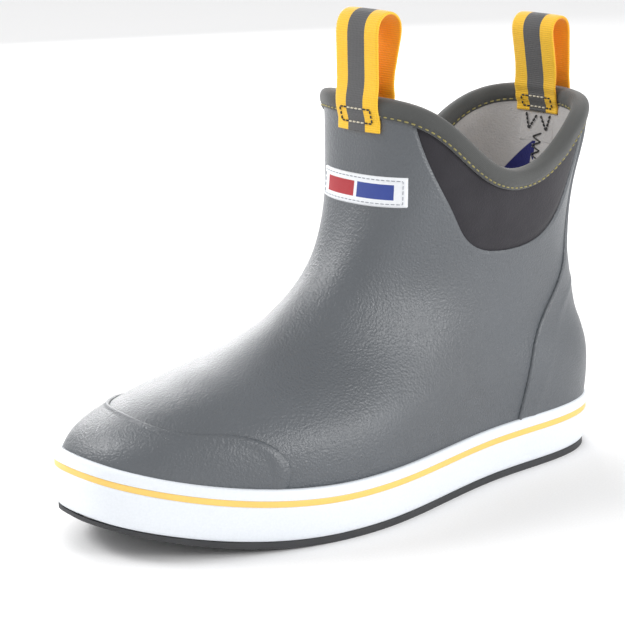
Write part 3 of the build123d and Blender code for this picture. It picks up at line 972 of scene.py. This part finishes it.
def build_heel_inside():
    """The patch under the rear tab, its V stitches, and the zigzag back seam."""
    patch = patch_of_cloth("rear_inner_patch", "rear", PATCH_WIDTH, PATCH_LOW, PATCH_HIGH,
                           (0.0, -0.4), -WALL, PLAIN)
    thicken(patch, -0.5)
    settle(patch, replaces=["rear_patch"])
    marks = [[(-8.6, 169.2), (-6.3, 161.0)], [(-6.3, 161.0), (-1.4, 168.4)],
             [(1.4, 168.4), (6.3, 161.0)], [(6.3, 161.0), (8.6, 169.2)]]
    rows = [seam_on_shaft("thread", "rear", mark, INNER_THREAD_OUT, -WALL, DARK, 2.2, 2.0, 0.5)
            for mark in marks]
    join(rows, "rear_patch_stitches")

    tape = patch_of_cloth("heel_seam_tape", "rear", TAPE_WIDTH, TAPE_LOW, PATCH_LOW,
                          (0.05, -0.4), -WALL, PLAIN, 1.0)
    thicken(tape, -0.4)
    settle(tape, replaces=["inner_seam_tape"])
    turns = [(ZIGZAG_HALF if k % 2 else -ZIGZAG_HALF, ZIGZAG_TOP - ZIGZAG_STEP * k)
             for k in range(ZIGZAG_TURNS)]
    legs = [seam_on_shaft("thread", "rear", leg, INNER_THREAD_OUT, -WALL, DARK, 7.0, 6.5, 0.42)
            for leg in zip(turns[:-1], turns[1:])]
    join(legs, "heel_zigzag_seam")


# ---------------------------------------------------------------- sidewall

# Section of the sidewall: how far in from the outline, its height between sole lines
# (0 bottom, 1 stripe, 2 top) and a height added in mm
WALL_SECTION = [
    (3.3, 0, 0.3), (2.3, 0, 0.0), (1.6, 0, 0.3), (1.1, 0, 1.0), (0.65, 0, 2.4), (0.3, 0, 4.6), (0.08, 0, 7.6),
    (0.0, 1, -4.0), (0.0, 1, -2.2), (0.06, 1, -1.75), (0.45, 1, -1.55), (0.5, 1, -1.3), (0.5, 1, 1.3),
    (0.45, 1, 1.55), (0.06, 1, 1.75), (0.02, 1, 2.1), (0.1, 2, -2.6), (0.3, 2, -1.2), (0.7, 2, -0.4),
    (1.3, 2, 0.0), (2.2, 2, 0.0), (3.4, 2, -0.4), (5.0, 2, -1.0), (5.5, 2, -3.5), (5.5, 1, 0), (5.0, 0, 4.0),
]


def wall_rings(section, count=720):
    """Rings round the sole outline, each a copy of a section at the local heights."""
    places = np.arange(count) / count
    x, y = sole_at(places)
    ahead, behind = sole_at(places + 0.002), sole_at(places - 0.002)
    way = unit(np.stack([ahead[0] - behind[0], ahead[1] - behind[1]], axis=-1))
    inward = np.stack([-way[:, 1], way[:, 0]], axis=-1)
    rings = []
    for inset, level, more in section:
        px, py = x + inward[:, 0] * inset, y + inward[:, 1] * inset
        lines = (sole_line(y, OUTSOLE_TOP, TOE_RISE, SPRING_START),
                 sole_line(y, STRIPE_HEIGHT, STRIPE_RISE, TOP_START),
                 sole_line(y, SIDEWALL_TOP, TOP_RISE, TOP_START))
        rings.append(np.stack([px, py, lines[level] + more], axis=-1))
    return np.stack(rings, axis=1)


def build_sidewall():
    rings = wall_rings(WALL_SECTION)
    wall = lay_mesh("sidewall_foxing", rings.reshape(-1, 3), sweep(rings), WHITE)
    settle(wall, replaces=["sidewall"])
    stripe_section = [(0.6, 1, -1.5), (0.38, 1, -1.5), (0.27, 1, -1.3), (0.22, 1, -0.7), (0.22, 1, 0.7),
                      (0.27, 1, 1.3), (0.38, 1, 1.5), (0.6, 1, 1.5)]
    rings = wall_rings(stripe_section)
    stripe = lay_mesh("sidewall_pinstripe", rings.reshape(-1, 3), sweep(rings), YELLOW)
    settle(stripe, replaces=["sidewall_stripe"])


# ---------------------------------------------------------------- CAD pieces that stay

def dress_frame():
    """CAD pieces whose shape is right get their materials."""
    kept = {"outsole": TREAD, "midsole_wedge": FOAM, "shank": PLASTIC, "insole_board": BOARD,
            "footbed": FOOTBED, "toe_puff": STIFFENER, "heel_stiffener": STIFFENER}
    for node, material in kept.items():
        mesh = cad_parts[node].data
        mesh.materials.clear()
        mesh.materials.append(material)


# ---------------------------------------------------------------- stage, light and camera

def build_stage():
    half = 9.0
    points = [(-half, -half, 0), (half, -half, 0), (half, half, 0), (-half, half, 0)]
    mesh = bpy.data.meshes.new("floor")
    mesh.from_pydata(points, [], [(0, 1, 2, 3)])
    mesh.materials.append(FLOOR)
    floor = bpy.data.objects.new("floor", mesh)
    bpy.context.scene.collection.objects.link(floor)


def soft_light(name, place, aim, size, power):
    light = bpy.data.lights.new(name, "AREA")
    light.shape = "RECTANGLE"
    light.size, light.size_y = size
    light.energy = power
    obj = bpy.data.objects.new(name, light)
    obj.location = place
    obj.rotation_euler = (Vector(aim) - Vector(place)).to_track_quat("-Z", "Y").to_euler()
    bpy.context.scene.collection.objects.link(obj)


def build_lights():
    world = bpy.data.worlds.new("studio")
    world.use_nodes = True
    background = world.node_tree.nodes["Background"]
    background.inputs["Color"].default_value = (1.0, 1.0, 1.0, 1)
    background.inputs["Strength"].default_value = 0.88
    bpy.context.scene.world = world
    middle = (0, 0, 0.09)
    soft_light("key", (-0.75, -0.75, 0.90), middle, (0.5, 0.4), 8)
    soft_light("side", (1.20, 0.45, 0.50), middle, (0.35, 0.35), 7)
    soft_light("rim", (-1.25, 0.50, 0.50), middle, (1.0, 0.6), 11)
    view = bpy.context.scene.view_settings
    view.view_transform = "Standard"
    view.look = "None"
    view.exposure = 0.0


def build_camera():
    azimuth, elevation = radians(49.16), radians(15.55)
    back = Vector((sin(azimuth) * cos(elevation), -cos(azimuth) * cos(elevation), sin(elevation)))
    camera = bpy.data.cameras.new("camera")
    camera.lens, camera.sensor_width = 135.9, 36
    camera.shift_x, camera.shift_y = -0.0581, 0.0284
    camera.clip_start, camera.clip_end = 0.05, 50
    obj = bpy.data.objects.new("camera", camera)
    obj.location = (0.83235, -0.7190, 0.3864)
    obj.rotation_euler = (-back).to_track_quat("-Z", "Y").to_euler()
    bpy.context.scene.collection.objects.link(obj)
    bpy.context.scene.camera = obj


build_camera()
build_stage()
build_lights()
dress_frame()
build_upper()
build_gores()
build_toe_cap()
build_heel_counter()
print_oval(LINING, (-9, 133, 141.5), (24, 40, 11), -49, -8.4, (0.02, 0.022, 0.13))
build_lining()
build_binding()
build_webbing("front")
build_webbing("rear")
build_label()
build_heel_inside()
build_sidewall()
